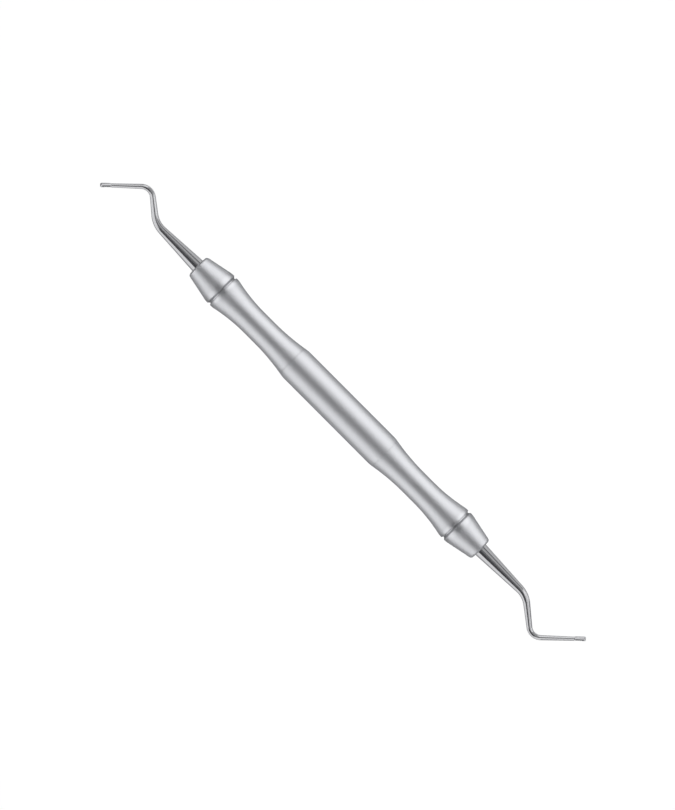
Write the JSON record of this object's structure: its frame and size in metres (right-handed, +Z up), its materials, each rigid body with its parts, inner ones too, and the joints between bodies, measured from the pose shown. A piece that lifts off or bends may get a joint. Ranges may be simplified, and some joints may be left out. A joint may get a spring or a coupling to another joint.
{
  "type": "periodontal file",
  "caption": "Double-ended periodontal file: turned satin steel handle with waists and end grooves, and bent, tapered polished shanks that carry small bladed file heads.",
  "frame": {"origin": "middle of the handle's axis, halfway between the two ends of the handle", "axes": "+X along the handle's axis towards the end with the longer shank, both shanks bent in the XY plane (the right one towards -Y, the left one towards +Y), +Z up from the surface that the instrument lies on, which is at z = -5 mm"},
  "size_m": [0.1753, 0.0124, 0.01],
  "materials": {
    "satin_steel": "satin",
    "polished_steel": "polished"
  },
  "bodies": {
    "root": {"handle_barrel": "satin_steel", "end_cone_left": "satin_steel", "end_cone_right": "satin_steel", "working_end_left": "polished_steel", "working_end_right": "polished_steel"}
  },
  "joints": []
}
